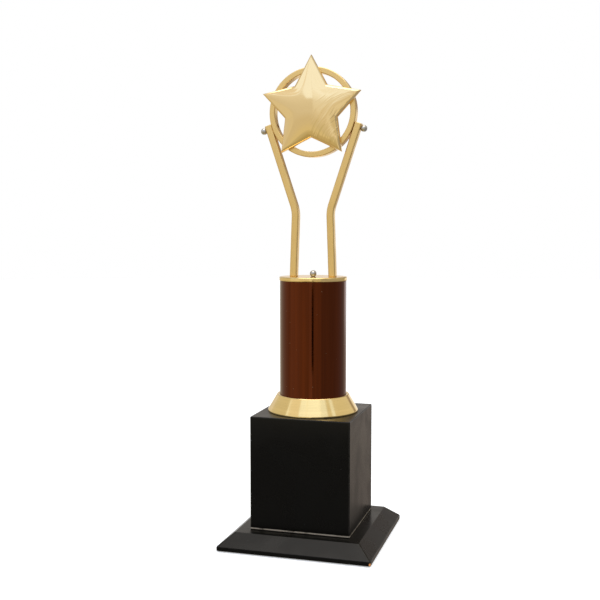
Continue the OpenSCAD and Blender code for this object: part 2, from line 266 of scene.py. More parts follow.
def grid_mesh(name, rows, first=None, last=None, loop=False, sharp=SMOOTH_LIMIT):
    """A mesh piece over a grid of points, with its faces outward.

    rows[i, j] runs round the piece with j, which always closes on itself, and along it with i,
    which closes if loop is set. Otherwise first and last, where given, are points that close the
    two ends with fans. A negative enclosed volume means that the faces point inward, so they
    are then turned over.
    """
    count, around = rows.shape[:2]
    i, j = np.meshgrid(np.arange(count if loop else count - 1), np.arange(around), indexing="ij")
    ahead, beside = (i + 1) % count * around, (j + 1) % around
    quads = np.stack([i * around + j, i * around + beside, ahead + beside, ahead + j], -1).reshape(-1, 4)
    points = [rows.reshape(-1, 3)]
    fans = []
    ring = np.arange(around)
    for point, base, turned in ((first, 0, True), (last, (count - 1) * around, False)):
        if point is not None:
            tip = np.full(around, count * around + len(fans))
            fan = np.stack([base + ring, base + (ring + 1) % around, tip], -1)
            fans.append(fan[:, ::-1] if turned else fan)
            points.append(np.asarray(point, float)[None])
    points = np.concatenate(points)
    triangles = np.concatenate([quads[:, :3], quads[:, [0, 2, 3]], *fans])
    a, b, c = (points[triangles[:, k]] for k in range(3))
    inward = (a * np.cross(b, c)).sum() < 0
    if inward:
        quads, fans = quads[:, ::-1], [fan[:, ::-1] for fan in fans]
    mesh = bpy.data.meshes.new(name)
    mesh.from_pydata(points.tolist(), [], quads.tolist() + [f for fan in fans for f in fan.tolist()])
    mesh.polygons.foreach_set("use_smooth", np.ones(len(mesh.polygons), bool))
    mesh.set_sharp_from_angle(angle=sharp)
    edge = np.zeros(len(points))
    edge[:count * around] = (-1 if inward else 1) * edge_turn(rows, loop).ravel()
    mesh.attributes.new("edge", "FLOAT", "POINT").data.foreach_set("value", np.clip(edge, -1, 1))
    mesh.update()
    piece = bpy.data.objects.new(name, mesh)
    bpy.context.scene.collection.objects.link(piece)
    return piece


def lathe_rows(profile, steps):
    """The profile's points (radius, height) turned round the Z axis: x = r cos t, y = r sin t."""
    t = np.linspace(0, TAU, steps, endpoint=False)
    r, z = profile[:, 0, None], profile[:, 1, None]
    return np.stack([r * np.cos(t), r * np.sin(t), z + 0 * t], -1)


def place(rows, origin, x_axis, y_axis):
    """The points moved from their own axes to the given origin, X axis and Y axis."""
    x_axis, y_axis = np.asarray(x_axis, float), np.asarray(y_axis, float)
    return np.asarray(origin) + rows @ np.stack([x_axis, y_axis, np.cross(x_axis, y_axis)])


def turned_ring(name, points, rounding, gap, steps=192):
    """A turned piece with a bore: the closed profile (radius, height), with its corners rounded,
    goes round the Z axis."""
    return grid_mesh(name, lathe_rows(hold_flats(round_corners(points, rounding), gap), steps), loop=True)


def turned_solid(name, profile, foot, top, steps=192, where=None):
    """A turned piece without a bore: the open profile goes round the Z axis, and points on the
    axis at the heights foot and top close its ends."""
    rows = lathe_rows(profile, steps)
    ends = np.array([[0, 0, foot], [0, 0, top]])
    if where is not None:
        rows, ends = place(rows, *where), place(ends, *where)
    return grid_mesh(name, rows, ends[0], ends[1])


def rect_outline(corner, gap, steps=8):
    """The fixed part of a rectangle's outline with round corners.

    A point of the outline is sign * (half sides - corner) + offset, so one pair of arrays serves
    for every size. It also holds points just inside the ends of the four sides, a gap away.
    """
    quarter = np.linspace(0, np.pi / 2, steps + 1)
    arc = corner * np.stack([np.cos(quarter), np.sin(quarter)], -1)
    own = np.concatenate([[[corner, -gap]], arc, [[-gap, corner]]])
    turns = np.arange(4) * np.pi / 2
    spin = np.stack([np.cos(turns), -np.sin(turns), np.sin(turns), np.cos(turns)], -1).reshape(4, 2, 2)
    offset = np.einsum("kab,nb->kna", spin, own).reshape(-1, 2)
    sign = np.repeat(np.einsum("kab,b->ka", spin, [1.0, 1.0]), len(own), 0)
    return sign, offset


def square_solid(name, profile, corner, gap=HOLD):
    """A piece with a square section and round upright corners.

    profile holds (half side, height). The section's corners keep one radius at every height.
    """
    sign, offset = rect_outline(corner, gap)
    half, z = profile[:, 0, None, None], profile[:, 1, None, None]
    flat = sign * (half - corner) + offset
    rows = np.concatenate([flat, np.broadcast_to(z, (*flat.shape[:2], 1))], -1)
    return grid_mesh(name, rows, [0, 0, profile[0, 1]], [0, 0, profile[-1, 1]])


def solid_profile(points, radii, gap=HOLD):
    """Half of a solid's side view, from under its foot to over its top, with rounded corners.

    The corners come from round_corners on the outline closed along the axis, and the points
    near the axis are left out, because the fans close the piece there.
    """
    points = np.asarray(points, float)
    closed = np.concatenate([[[0, points[0, 1]]], points, [[0, points[-1, 1]]]])
    held = hold_flats(round_corners(closed, [1e-7, *radii, 1e-7]), gap)
    return held[held[:, 0] > points[:, 0].max() * 0.1]


def straight_profile(node, rounding, gap=HOLD):
    """The side view of a straight solid as high and as wide as a CAD node, with rounded edges."""
    low, high = node_box(node)
    return solid_profile([(high[0], low[2]), (high[0], high[2])], [rounding, rounding], gap)


# ---------------------------------------------------------------- measured places


def middle(low, high):
    """The point halfway between two corners."""
    return (low + high) / 2


def ring_frame():
    """The ring's centre, outside radius and half depth."""
    low, high = node_box("ring")
    centre = middle(low, high)
    return centre, (high[2] - low[2]) / 2, (high[1] - low[1]) / 2


def star_frame():
    """The star's centre on its seat, its tip radius and its whole height."""
    low, high = node_box("star_front")
    tip = (high[2] - low[2]) / (1 + math.cos(TIP_TURN))
    return np.array([0, high[1], high[2] - tip]), tip, high[1] - low[1]


def screw_axis(side):
    """The direction in which a ring screw points outward: side is -1 on the left, 1 on the right."""
    flare = settings("arms").flare
    return np.array([side * math.cos(flare), 0, -math.sin(flare)])


def seat_distance():
    """The distance from the ring's centre to the flats that the arms bear on."""
    _, radius, _ = ring_frame()
    return math.sqrt(radius**2 - settings("ring").seat_half ** 2)


# ---------------------------------------------------------------- surfaces


def bar_rows(side):
    """The grid of an arm: a rounded rectangle carried up a line, round an arc and up a line.

    In the bar's own plane, u points away from the centre line and v up. A centre-line point is
    (0, v) on the lower line, (r - r cos a, l + r sin a) on the bend, and then runs on along
    (sin T, cos T). The section's width lies along (cos a, -sin a). Its outline shrinks by
    e (1 - cos p) over the last e sin p of either end, which rounds the ends.
    """
    arms = settings("arms")
    low, high = node_box("arm_right")
    lean = math.atan((arms.foot_x - arms.bend_x) / arms.bend_height)
    turn = lean + arms.flare
    run = arms.bend_radius * math.tan(turn / 2)
    lower = math.hypot(arms.foot_x - arms.bend_x, arms.bend_height) - run
    centre, _, _ = ring_frame()
    pin = centre + (seat_distance() + arms.width / 2) * screw_axis(1)
    bend = np.array([arms.bend_x, 0, low[2] + arms.bend_height])
    upper = math.dist(pin, bend) - run + arms.past_screw
    e, gap = arms.end_round, HOLD
    p = np.linspace(0, np.pi / 2, 6)
    bent = np.linspace(0, turn, 25)
    straight = len(p) + 2
    rest = len(bent) + straight
    base = np.concatenate([e * (1 - np.sin(p))[::-1], [e + gap, lower - gap], np.full(rest, lower)])
    angle = np.concatenate([np.zeros(straight), bent, np.full(straight, turn)])
    extra = np.concatenate([np.zeros(rest), [gap, upper - e - gap], upper - e + e * np.sin(p)])
    shrink = np.concatenate([e * (1 - np.cos(p))[::-1], np.zeros(len(bent) + 4), e * (1 - np.cos(p))])
    line = np.stack([arms.bend_radius * (1 - np.cos(angle)) + extra * np.sin(angle),
                     base + arms.bend_radius * np.sin(angle) + extra * np.cos(angle)], -1)
    sign, offset = rect_outline(arms.edge_round, gap)
    half = np.array([arms.width, high[1] - low[1]]) / 2 - arms.edge_round
    section = sign * half + offset * (1 - shrink / arms.edge_round)[:, None, None]
    off, y = section[..., 0], section[..., 1]
    u = line[:, 0, None] + off * np.cos(angle)[:, None]
    v = line[:, 1, None] - off * np.sin(angle)[:, None]
    level = np.clip(1 - base / lower, 0, 1)[:, None]
    v = v - off * math.tan(lean) * level
    x = arms.foot_x + u * math.cos(lean) - v * math.sin(lean)
    z = low[2] + u * math.sin(lean) + v * math.cos(lean)
    rows = np.stack([side * x, y, z], -1)
    return rows, rows[0].mean(0), rows[-1].mean(0)


def band_rows():
    """The grid of the ring: a rounded rectangle carried round a circle, with two flats outside.

    Outside, the radius is R, or d / cos(t) where that is less, t being the angle from the flat's
    middle and d the flat's distance from the centre.
    """
    ring = settings("ring")
    centre, radius, depth = ring_frame()
    flare = settings("arms").flare
    edge = math.asin(ring.seat_half / radius)
    even = np.linspace(0, TAU, 360, endpoint=False)
    middles = np.array([-flare, np.pi + flare])
    near = (middles[:, None] + edge * np.linspace(-1.1, 1.1, 23)).ravel() % TAU
    far = np.abs((even[:, None] - middles + np.pi) % TAU - np.pi).min(1) > 1.2 * edge
    t = np.sort(np.concatenate([even[far], near]))
    off = (t[:, None] - middles + np.pi) % TAU - np.pi
    reach = np.where(np.abs(off) < np.pi / 3, seat_distance() / np.cos(off), radius)
    dip = radius - np.minimum(reach.min(1), radius)
    sign, offset = rect_outline(ring.edge_round, HOLD)
    half = np.array([ring.band / 2, depth]) - ring.edge_round
    section = sign * half + offset
    r = (radius - ring.band / 2 + section[:, 0])[:, None] - dip * (sign[:, 0] > 0)[:, None]
    y = section[:, 1, None] + 0 * r
    return centre + np.stack([r * np.cos(t), y, r * np.sin(t)], -1)


def star_columns(tip, notch):
    """The directions of the star's columns and its outline radius there.

    Points lie along each straight edge from tip to notch, closer together near both ends, and
    the edge serves ten times, turned and mirrored.
    """
    t = np.linspace(0, 1, 45)
    t = t - np.sin(TAU * t) / TAU * 0.8
    corner = notch * np.array([math.cos(TIP_TURN), math.sin(TIP_TURN)])
    edge = (1 - t)[:, None] * [tip, 0] + t[:, None] * corner
    a, r = np.arctan2(edge[:, 1], edge[:, 0]), np.hypot(edge[:, 0], edge[:, 1])
    a = np.concatenate([a[:-1], 2 * TIP_TURN - a[:0:-1]])
    r = np.concatenate([r[:-1], r[:0:-1]])
    return (a + 2 * TIP_TURN * np.arange(5)[:, None]).ravel(), np.tile(r, 5)


def star_waves(tip, notch, count=64, samples=8192):
    """The outline as a cosine series with one wave for each of the five tips."""
    t = np.arange(samples) / samples * 2 * TIP_TURN
    t = np.minimum(t, 2 * TIP_TURN - t)
    outline = tip * notch * math.sin(TIP_TURN) / (notch * np.sin(TIP_TURN - t) + tip * np.sin(t))
    waves = np.fft.rfft(outline).real / samples * 2
    waves[0] /= 2
    return waves[:count]


def star_rows():
    """The grid of the star's shell, from the middle of its dome round its rim to the inside.

    At share s of the way out, the dome's radius in direction a is s times the sum of the waves
    w(n) s^(fade n) cos(5 n a), and its height is side + dome (1 - s^2). The dome stops where a
    rolled edge of even width begins: a quadratic curve that starts along the dome's slope and
    ends straight down the side. The inside is the outside drawn in by the wall.
    """
    star = settings("star")
    centre, tip, whole = star_frame()
    notch = tip * star.notch
    dome = whole - star.side
    a, edge = star_columns(tip, notch)
    waves = star_waves(tip, notch)
    n = np.arange(len(waves))
    wave = waves[:, None] * np.cos(5 * n[:, None] * a)
    reach = tip * notch * math.sin(TIP_TURN) / math.hypot(
        tip - notch * math.cos(TIP_TURN), notch * math.sin(TIP_TURN))

    def dome_at(s):
        """Radius and height at the shares s, one for each row and column."""
        power = s[..., None] ** (star.fade * n)
        return s * np.einsum("ijn,nj->ij", power, wave), star.side + dome * (1 - s**2)

    def share_at(radius):
        """The shares at which the dome reaches the given radii, by halving the range."""
        low, high = np.zeros((1, len(a))), np.ones((1, len(a)))
        for _ in range(30):
            half = (low + high) / 2
            short = dome_at(half)[0] < radius
            low, high = np.where(short, half, low), np.where(short, high, half)
        return high

    share = np.sin(np.linspace(0, np.pi / 2, 64))[1:, None]
    inset = share_at(edge * (1 - star.roll / reach))
    r, h = dome_at(share * inset)
    lean = (h[-1] - h[-2]) / (r[-1] - r[-2])
    crown = h[-1] + lean * (edge - r[-1])
    t = np.linspace(0, 1, 14)[1:, None]
    rim_r = (1 - t) ** 2 * r[-1] + (1 - (1 - t) ** 2) * edge
    rim_h = (1 - t) ** 2 * h[-1] + 2 * t * (1 - t) * crown + t**2 * (crown - star.roll * 0.9)
    foot = 0.3 * MM
    wall_k = np.array([1, 1, 1 - foot * 0.3 / reach, 1 - foot / reach])[:, None]
    wall_h = np.array([star.side * 0.4, foot, foot * 0.3, 0])[:, None]
    k = 1 - star.wall / reach
    inner_s = np.sin(np.linspace(np.pi / 2, 0, 25))[:-1]
    inner_r, inner_h = dome_at(np.repeat(inner_s[:, None], len(a), 1) * 0.999)
    radius = np.concatenate([r, rim_r, wall_k * edge, [k * edge, k * edge], k * inner_r])
    height = np.concatenate([h, rim_h, wall_h + 0 * edge, [0 * edge, 0 * edge + foot],
                             inner_h - star.wall])
    rows = np.stack([radius * np.cos(a + np.pi / 2), -height, radius * np.sin(a + np.pi / 2)], -1)
    return centre + rows, centre - [0, whole, 0], centre - [0, whole - star.wall, 0]


def ball_profile(shank, reach):
    """A ball-headed screw's side view: a straight shank, then the ball's arc up to its crown."""
    ring = settings("ring")
    ball, centre = ring.ball_radius, ring.ball_centre
    start = -math.acos(shank / ball)
    p = np.linspace(start, np.pi / 2, 28)[:-1]
    arc = np.stack([ball * np.cos(p), centre + ball * np.sin(p)], -1)
    stem = [[shank * 0.7, -reach], [shank, -reach + shank * 0.3], [shank, arc[0, 1] - 0.0002]]
    return np.concatenate([stem, arc]), -reach, centre + ball


def bored(piece, axes, radius):
    """The piece drilled through along each axis, given as a start and an end point."""
    for start, end in axes:
        start, end = np.asarray(start, float), np.asarray(end, float)
        along = unit((end - start)[None])[0]
        depth = math.dist(start, end)
        profile = np.array([[radius, 0.0], [radius, depth]])
        cutter = turned_solid("cutter", profile, 0, depth, 48, (start, DEPTHWISE, np.cross(along, DEPTHWISE)))
        drill = piece.modifiers.new("drill", "BOOLEAN")
        drill.object, drill.operation, drill.solver = cutter, "DIFFERENCE", "EXACT"
        shaped = bpy.data.meshes.new_from_object(
            piece.evaluated_get(bpy.context.evaluated_depsgraph_get()))
        piece.modifiers.remove(drill)
        piece.data = shaped
        bpy.data.objects.remove(cutter)
    piece.data.set_sharp_from_angle(angle=SMOOTH_LIMIT)
    return piece


def settle(piece, slot, material, *nodes):
    """Gives a piece its material and its place in the frame; slot is not used."""
    piece.data.materials.clear()
    piece.data.materials.append(material)
    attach(piece, "root")
    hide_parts(*nodes)


# ---------------------------------------------------------------- nodes


def opaque(shade):
    """A colour with full alpha; a socket stays as it is."""
    return shade if isinstance(shade, bpy.types.NodeSocket) else (*shade, 1.0)


def scaled(rgb, share, lift=0.0, high=1.0):
    """The colour times share plus lift, and no brighter than high."""
    return [min(high, c * share + lift) for c in rgb]


class Nodes:
    """The nodes of one tree. Each method adds a node and gives back the socket with its result."""

    def __init__(self, tree):
        self.tree = tree

    def feed(self, socket, value):
        """Links the socket to the one that feeds it, or sets it to a plain value."""
        if isinstance(value, bpy.types.NodeSocket):
            self.tree.links.new(value, socket)
        else:
            socket.default_value = value

    def add(self, kind, inputs=None, **settings):
        """A new node of any kind, with its inputs fed: the node itself."""
        node = self.tree.nodes.new(kind)
        for key, value in settings.items():
            setattr(node, key, value)
        for key, value in (inputs or {}).items():
            self.feed(node.inputs[key], value)
        return node

    def math(self, operation, a, b=0.5, clamp=False):
        """The result of a Math node."""
        return self.add("ShaderNodeMath", {0: a, 1: b}, operation=operation, use_clamp=clamp).outputs[0]

    def plus(self, a, b):
        """a + b"""
        return self.math("ADD", a, b)

    def minus(self, a, b):
        """a - b"""
        return self.math("SUBTRACT", a, b)

    def times(self, a, b):
        """a times b"""
        return self.math("MULTIPLY", a, b)

    def ramp(self, value, low=0.0, high=1.0, to_low=0.0, to_high=1.0):
        """The value carried from the range low..high to the range to_low..to_high, smoothly."""
        return self.add("ShaderNodeMapRange", {"Value": value, "From Min": low, "From Max": high,
                                               "To Min": to_low, "To Max": to_high},
                        interpolation_type="SMOOTHSTEP").outputs["Result"]

    def blend(self, share, a, b):
        """The colour between a and b at the given share."""
        return self.add("ShaderNodeMix", {0: share, 6: opaque(a), 7: opaque(b)}, data_type="RGBA").outputs[2]

    def place(self):
        """The place on the piece, in metres."""
        return self.add("ShaderNodeTexCoord").outputs["Object"]

    def axes(self, vector):
        """The three parts of a vector."""
        return self.add("ShaderNodeSeparateXYZ", {0: vector}).outputs

    def vector(self, x, y, z):
        """A vector from its three parts."""
        return self.add("ShaderNodeCombineXYZ", {0: x, 1: y, 2: z}).outputs[0]

    def distance(self, a, b):
        """The distance between two points."""
        return self.add("ShaderNodeVectorMath", {0: a, 1: b}, operation="DISTANCE").outputs["Value"]

    def stretched(self, place, scale):
        """The place scaled on each axis, so that a pattern on it is drawn out."""
        return self.add("ShaderNodeMapping", {"Vector": place, "Scale": scale}).outputs["Vector"]

    def noise(self, place, scale, detail=2.0, rough=0.5, warp=0.0):
        """A noise value from 0 to 1."""
        return self.add("ShaderNodeTexNoise", {"Vector": place, "Scale": scale, "Detail": detail,
                                               "Roughness": rough, "Distortion": warp}).outputs["Fac"]

    def bump(self, height, depth, strength):
        """A normal from a height value; depth is the real height in metres of the value's range."""
        return self.add("ShaderNodeBump", {"Strength": strength, "Distance": depth,
                                           "Height": height}).outputs["Normal"]

    def effect(self, name, **values):
        """One of the shared effects, placed with its own values: all its outputs."""
        return self.add("ShaderNodeGroup", values, node_tree=effect_group(name)).outputs

    def shade(self, **sources):
        """Feeds the Principled shader; an underscore in a key stands for a space."""
        for key, value in sources.items():
            self.feed(self.tree.nodes["Principled BSDF"].inputs[key.replace("_", " ")], value)


# ---------------------------------------------------------------- shared effects


def edge_rub(n, given, place):
    """Rub marks on outer edges and dust in grooves, broken up by noise."""
    edge = n.add("ShaderNodeAttribute", attribute_name="edge").outputs["Fac"]
    patches = n.noise(place, given["Breakup"], 3.0, 0.6)
    rub = n.times(n.ramp(edge, 0.15, 0.8), n.ramp(patches, 0.42, 0.68))
    dust = n.times(n.ramp(n.times(edge, -1.0), 0.05, 0.6), n.ramp(patches, 0.3, 0.6))
    return n.times(rub, given["Rub"]), n.times(dust, given["Dust"])


def specks(n, given, place):
    """Scattered specks: small discs round the points of a cell pattern, thinned out at random."""
    cells = n.add("ShaderNodeTexVoronoi", {"Vector": place, "Scale": given["Cells"]}).outputs
    disc = n.math("LESS_THAN", cells["Distance"], given["Size"])
    tone = n.add("ShaderNodeSeparateColor", {0: cells["Color"]}).outputs[0]
    return (n.times(disc, n.math("LESS_THAN", tone, given["Share"])),)


def smudges(n, given, place):
    """Soft cloudy smudges with finer wipe marks in them, from 0 to 1."""
    cloud = n.ramp(n.noise(place, given["Size"], 3.0, 0.55, 0.6), 0.35, 0.7)
    wipe = n.noise(n.stretched(place, (1.0, 1.0, 0.3)), n.times(given["Size"], 9.0), 2.0, 0.5, 0.3)
    return (n.math("ADD", cloud, n.times(wipe, given["Wipe"]), clamp=True),)


def upright_streaks(n, given, place):
    """Fine upright brush lines: noise drawn out along Z, coarse and fine together."""
    fine = n.noise(n.stretched(place, (1.0, 1.0, 0.006)), n.times(given["Fineness"], 2600.0), 3.0, 0.6)
    broad = n.noise(n.stretched(place, (1.0, 1.0, 0.02)), n.times(given["Fineness"], 420.0))
    return (n.plus(n.times(fine, 0.6), n.times(broad, 0.4)),)


def turning_lines(n, given, place):
    """Fine lines left by a lathe: noise that depends on the radius and the height alone."""
    x, y, z = n.axes(place)
    radius = n.distance(n.vector(x, y, 0.0), (0.0, 0.0, 0.0))
    return (n.noise(n.vector(radius, z, 0.0), n.times(given["Fineness"], 3000.0), 2.0, 0.7),)


# Maker, inputs with their defaults, and outputs of each effect
EFFECTS = {
    "edge rub": (edge_rub, {"Rub": 0.5, "Dust": 0.5, "Breakup": 400.0}, ("Rub", "Dust")),
    "specks": (specks, {"Cells": 500.0, "Size": 0.12, "Share": 0.3}, ("Specks",)),
    "smudges": (smudges, {"Size": 30.0, "Wipe": 0.4}, ("Smudge",)),
    "upright streaks": (upright_streaks, {"Fineness": 1.0}, ("Streaks",)),
    "turning lines": (turning_lines, {"Fineness": 1.0}, ("Lines",)),
}


def effect_group(name):
    """The node group of a shared effect, built the first time that it is asked for."""
    if name in bpy.data.node_groups:
        return bpy.data.node_groups[name]
    make, inputs, outputs = EFFECTS[name]
    group = bpy.data.node_groups.new(name, "ShaderNodeTree")
    for label, value in inputs.items():
        socket = group.interface.new_socket(label, in_out="INPUT", socket_type="NodeSocketFloat")
        socket.default_value = value
    for label in outputs:
        group.interface.new_socket(label, in_out="OUTPUT", socket_type="NodeSocketFloat")
    n = Nodes(group)
    results = make(n, n.add("NodeGroupInput").outputs, n.place())
    n.add("NodeGroupOutput", dict(zip(outputs, results)))
    return group


# ---------------------------------------------------------------- finishes


# The first colour is a painted highlight: a pale line of reflected light round the block's foot.
JOINT_HIGHLIGHT, CHIPPED_WOOD, GROOVE_DUST = (0.34, 0.29, 0.225), (0.55, 0.22, 0.06), (0.02, 0.018, 0.016)
SPECK_ON_BLACK, SPECK_ON_BROWN, LOOSE_FIBRE = (0.06, 0.056, 0.052), (0.35, 0.24, 0.17), (0.035, 0.035, 0.04)


def new_material(name):
    """A material with a plain Principled shader, and its nodes."""
    material = bpy.data.materials.new(name)
    material.use_nodes = True
    return material, Nodes(material.node_tree)


def worn(n, tone, rgb, pale, dusty, rub, dust, breakup):
    """The tone, paler on rubbed edges and darker in dusty grooves, and the share of rub.

    The dust's colour is the metal's own, times dusty.
    """
    edges = n.effect("edge rub", Rub=rub, Dust=dust, Breakup=breakup)
    tone = n.blend(edges["Rub"], tone, pale)
    return n.blend(edges["Dust"], tone, scaled(rgb, dusty)), edges["Rub"]


def black_lacquer():
    """Black satin lacquer: rubbed edges, smudges, dust, one chipped corner of the plinth, and a
    painted highlight: a pale line round the joint at the block's foot that stands for reflected light."""
    base = settings("base")
    material, n = new_material("black lacquer")
    edges = n.effect("edge rub", Rub=0.35, Dust=0.25, Breakup=260.0)
    dots = n.effect("specks", Cells=260.0, Size=0.07, Share=0.16)["Specks"]
    smudge = n.effect("smudges", Size=22.0, Wipe=0.25)["Smudge"]
    place = n.place()
    low, high = node_box("plinth")
    corner = (high[0], low[1], low[2] + 1.2 * MM)
    ragged = n.plus(n.distance(place, corner), n.times(n.noise(place, 1400.0), 1.2 * MM))
    chip = n.ramp(ragged, 1.6 * MM, 1.9 * MM, 1.0, 0.0)
    # painted highlight: a pale line round the block's foot, just above the joint, that stands for light
    # reflected there
    joint = node_box("block")[0][2] + 1.0 * MM
    line = n.ramp(n.math("ABSOLUTE", n.minus(n.axes(place)[2], joint)), 0.3 * MM, 0.7 * MM, 1.0, 0.0)
    line = n.times(line, n.ramp(n.noise(place, 160.0, 3.0), 0.25, 0.5))
    tone = n.blend(edges["Rub"], base.lacquer, base.lacquer_worn)
    for share, rgb in ((line, JOINT_HIGHLIGHT), (n.times(dots, 0.5), SPECK_ON_BLACK),
                       (edges["Dust"], GROOVE_DUST), (chip, CHIPPED_WOOD)):
        tone = n.blend(share, tone, rgb)
    n.shade(Base_Color=tone, Roughness=n.ramp(smudge, to_low=0.24, to_high=0.34),
            Specular_IOR_Level=0.2, Specular_Tint=(1.0, 0.94, 0.88, 1.0),
            Normal=n.bump(n.noise(place, 520.0), 0.03 * MM, 0.35))
    return material


def felt():
    """Black felt: short matted fibres."""
    material, n = new_material("felt")
    place = n.place()
    fibres = n.noise(n.stretched(place, (1.0, 0.35, 1.0)), 3000.0, 4.0, 0.7, 1.2)
    matted = n.ramp(n.times(fibres, n.noise(place, 600.0, 3.0)), 0.1, 0.45)
    n.shade(Base_Color=n.blend(matted, settings("base").felt, LOOSE_FIBRE),
            Roughness=0.95, Sheen_Weight=0.25, Sheen_Roughness=0.5, Normal=n.bump(fibres, 0.3 * MM, 0.6))
    return material


def column_brown():
    """Tinted lacquer over brushed metal: upright lines, faint smudges and a few dust specks."""
    rgb = settings("column").tube_lacquer
    material, n = new_material("column brown")
    streaks = n.effect("upright streaks", Fineness=1.0)["Streaks"]
    smudge = n.effect("smudges", Size=26.0, Wipe=0.3)["Smudge"]
    dots = n.effect("specks", Cells=330.0, Size=0.09, Share=0.2)["Specks"]
    tone = n.blend(n.ramp(streaks, 0.3, 0.7), scaled(rgb, 0.82), scaled(rgb, 1.22))
    tone = n.blend(n.times(dots, 0.5), tone, SPECK_ON_BROWN)
    rough = n.plus(n.ramp(smudge, to_low=0.06, to_high=0.11), n.times(streaks, 0.05))
    n.shade(Metallic=1.0, Base_Color=tone, Roughness=n.plus(rough, n.times(dots, 0.3)),
            Coat_Weight=0.15, Coat_Roughness=0.06, Normal=n.bump(streaks, 0.01 * MM, 0.2))
    return material


def mirror_gold():
    """Mirror-polished gold: faint waves in the sheet, wipe marks and worn tips.

    The wipe marks run in arcs round a pivot off the lower right, and are only on that side of
    the star. The lower right tip is bent back a little, by the square of its distance.
    """
    rgb = settings("finish").mirror_gold
    material, n = new_material("mirror gold")
    smudge = n.effect("smudges", Size=45.0, Wipe=0.35)["Smudge"]
    place = n.place()
    centre, tip, _ = star_frame()
    x, _, z = n.axes(place)
    across, down = n.minus(x, centre[0]), n.minus(centre[2], z)
    share = n.times(n.ramp(n.plus(across, n.times(down, 0.6)), 0.0, 0.3 * tip),
                    n.ramp(across, -0.02 * tip, 0.05 * tip))
    pivot = (centre[0] + 0.95 * tip, 0.0, centre[2] - 0.75 * tip)
    sweep = n.plus(n.distance(n.vector(x, 0.0, z), pivot), n.times(n.noise(place, 45.0, 1.0), 12 * MM))
    marks = n.noise(n.vector(sweep, n.times(x, 0.12), 0.0), 300.0, 2.0, 0.55)
    strokes = n.times(n.ramp(marks, 0.35, 0.65), share)
    bend = n.math("POWER", n.math("MAXIMUM", n.minus(down, 0.5 * tip), 0.0), 2.0)
    bend = n.times(bend, n.ramp(across, -0.1 * tip, 0.1 * tip, 0.0, 140000.0))
    waves = n.minus(n.plus(n.times(n.noise(place, 42.0, 1.0, 0.4), 0.4), strokes), bend)
    tone, _ = worn(n, rgb, rgb, scaled(rgb, 0.6, 0.38), 0.6, rub=0.2, dust=0.3, breakup=300.0)
    n.shade(Metallic=1.0, Base_Color=tone, Roughness=n.ramp(smudge, to_low=0.03, to_high=0.07),
            Normal=n.bump(waves, 0.4 * MM, 0.25))
    return material


def satin_gold(name, fineness=1.0):
    """Satin gold: fine upright brushing, smudges and brighter rubbed edges."""
    rgb = settings("finish").satin_gold
    material, n = new_material(name)
    streaks = n.effect("upright streaks", Fineness=fineness)["Streaks"]
    smudge = n.effect("smudges", Size=60.0, Wipe=0.4)["Smudge"]
    tone = n.blend(n.ramp(streaks, 0.3, 0.7), scaled(rgb, 0.97), scaled(rgb, 1.03))
    tone, rub = worn(n, tone, rgb, scaled(rgb, 0.6, 0.36), 0.5, rub=0.09, dust=0.2, breakup=160.0)
    n.shade(Metallic=1.0, Base_Color=tone, Normal=n.bump(streaks, 0.006 * MM, 0.35),
            Roughness=n.minus(n.ramp(smudge, to_low=0.24, to_high=0.34), n.times(rub, 0.1667)))
    return material


def turned_gold(name):
    """Polished turned gold: fine lathe lines, smudges and brighter rims."""
    rgb = settings("finish").polished_gold
    material, n = new_material(name)
    lines = n.effect("turning lines", Fineness=1.0)["Lines"]
    smudge = n.effect("smudges", Size=50.0, Wipe=0.3)["Smudge"]
    tone = n.blend(n.ramp(lines, 0.3, 0.7), scaled(rgb, 0.92), scaled(rgb, 1.06))
    tone, _ = worn(n, tone, rgb, scaled(rgb, 0.6, 0.38), 0.5, rub=0.3, dust=0.4, breakup=300.0)
    n.shade(Metallic=1.0, Base_Color=tone, Normal=n.bump(lines, 0.006 * MM, 0.3),
            Roughness=n.plus(n.ramp(smudge, to_low=0.07, to_high=0.12), n.times(lines, 0.04)))
    return material


def plain_metal(name, rgb, low, high):
    """A machined metal: cloudy tone and roughness between low and high, with fine grain."""
    material, n = new_material(name)
    smudge = n.effect("smudges", Size=120.0, Wipe=0.5)["Smudge"]
    tone = n.blend(smudge, rgb, scaled(rgb, 0.86))
    tone, _ = worn(n, tone, rgb, scaled(rgb, 1.3), 0.5, rub=0.5, dust=0.5, breakup=500.0)
    n.shade(Metallic=1.0, Base_Color=tone, Roughness=n.ramp(smudge, to_low=low, to_high=high),
            Normal=n.bump(n.noise(n.place(), 2200.0), 0.01 * MM, 0.5))
    return material


def turned_wood():
    """Pale turned wood: growth rings across the plug and pores along it."""
    rgb = settings("finish").wood
    material, n = new_material("turned wood")
    place = n.place()
    rings = n.add("ShaderNodeTexWave", {"Vector": n.stretched(place, (1.0, 0.3, 1.0)), "Scale": 130.0,
                                        "Distortion": 6.0, "Detail": 3.0}).outputs["Fac"]
    pores = n.noise(n.stretched(place, (1.0, 0.06, 1.0)), 2400.0)
    tone = n.blend(rings, rgb, scaled(rgb, 0.62))
    tone = n.blend(n.ramp(pores, 0.55, 0.75), tone, scaled(rgb, 0.4))
    n.shade(Base_Color=tone, Roughness=n.ramp(n.noise(place, 30.0, 3.0), 0.3, 0.7, 0.5, 0.7),
            Normal=n.bump(pores, 0.1 * MM, 0.4))
    return material


# ---------------------------------------------------------------- operators


class Undoable:
    """What every operator of the trophy has in common."""

    bl_options = {"REGISTER", "UNDO"}


